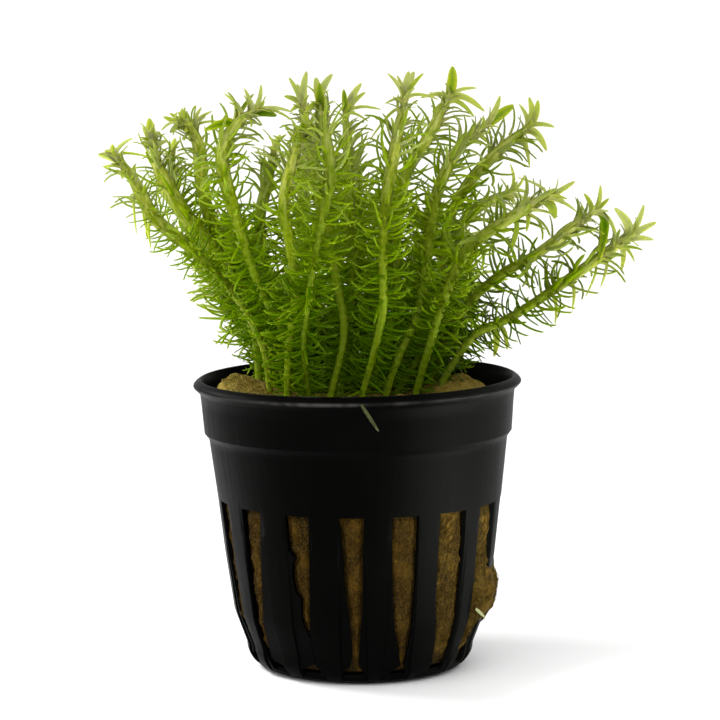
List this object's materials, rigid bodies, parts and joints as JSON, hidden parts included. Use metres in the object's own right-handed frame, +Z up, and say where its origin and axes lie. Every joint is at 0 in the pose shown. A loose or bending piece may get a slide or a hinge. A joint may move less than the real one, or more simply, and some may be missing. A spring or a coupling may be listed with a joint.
{
  "type": "potted aquarium stem plant",
  "caption": "Bunch of feathery green aquarium plant shoots rising from a plug of tan rock wool in a small slotted black net pot.",
  "frame": {"origin": "centre of the pot's flat underside", "axes": "+Z up through the pot's axis, -Y the front that the picture shows, +X its right"},
  "size_m": [0.094, 0.0697, 0.1019],
  "materials": {
    "pot_plastic": "injection-moulded black plastic with a soft sheen",
    "rock_wool": "matted tan mineral fibres, damp",
    "bogmoss_leaf": "soft, thin, slightly see-through leaves with a wet sheen",
    "shed_leaf": "pale wilted leaf"
  },
  "bodies": {
    "root": {"pot": "pot_plastic", "rock_wool": "rock_wool", "shoot_far_left": "bogmoss_leaf", "shoot_left_tall": "bogmoss_leaf", "shoot_left_inner": "bogmoss_leaf", "shoot_left_hook": "bogmoss_leaf", "shoot_left_arch": "bogmoss_leaf", "shoot_left_back": "bogmoss_leaf", "shoot_front_bent": "bogmoss_leaf", "shoot_top_left": "bogmoss_leaf", "shoot_top_front": "bogmoss_leaf", "shoot_top_mid": "bogmoss_leaf", "shoot_top_right": "bogmoss_leaf", "shoot_peak": "bogmoss_leaf", "shoot_right_high": "bogmoss_leaf", "shoot_right_star": "bogmoss_leaf", "shoot_right_pale": "bogmoss_leaf", "shoot_right_thick": "bogmoss_leaf", "shoot_right_low": "bogmoss_leaf", "shoot_far_right": "bogmoss_leaf", "shoot_back_a": "bogmoss_leaf", "shoot_back_b": "bogmoss_leaf", "shoot_back_c": "bogmoss_leaf", "shoot_back_d": "bogmoss_leaf", "shoot_back_e": "bogmoss_leaf", "shoot_back_f": "bogmoss_leaf", "shoot_back_g": "bogmoss_leaf", "shoot_back_h": "bogmoss_leaf", "shoot_back_i": "bogmoss_leaf", "shoot_back_j": "bogmoss_leaf", "shoot_back_k": "bogmoss_leaf", "loose_leaf_pot": "shed_leaf", "loose_leaf_wool": "shed_leaf"}
  },
  "joints": []
}
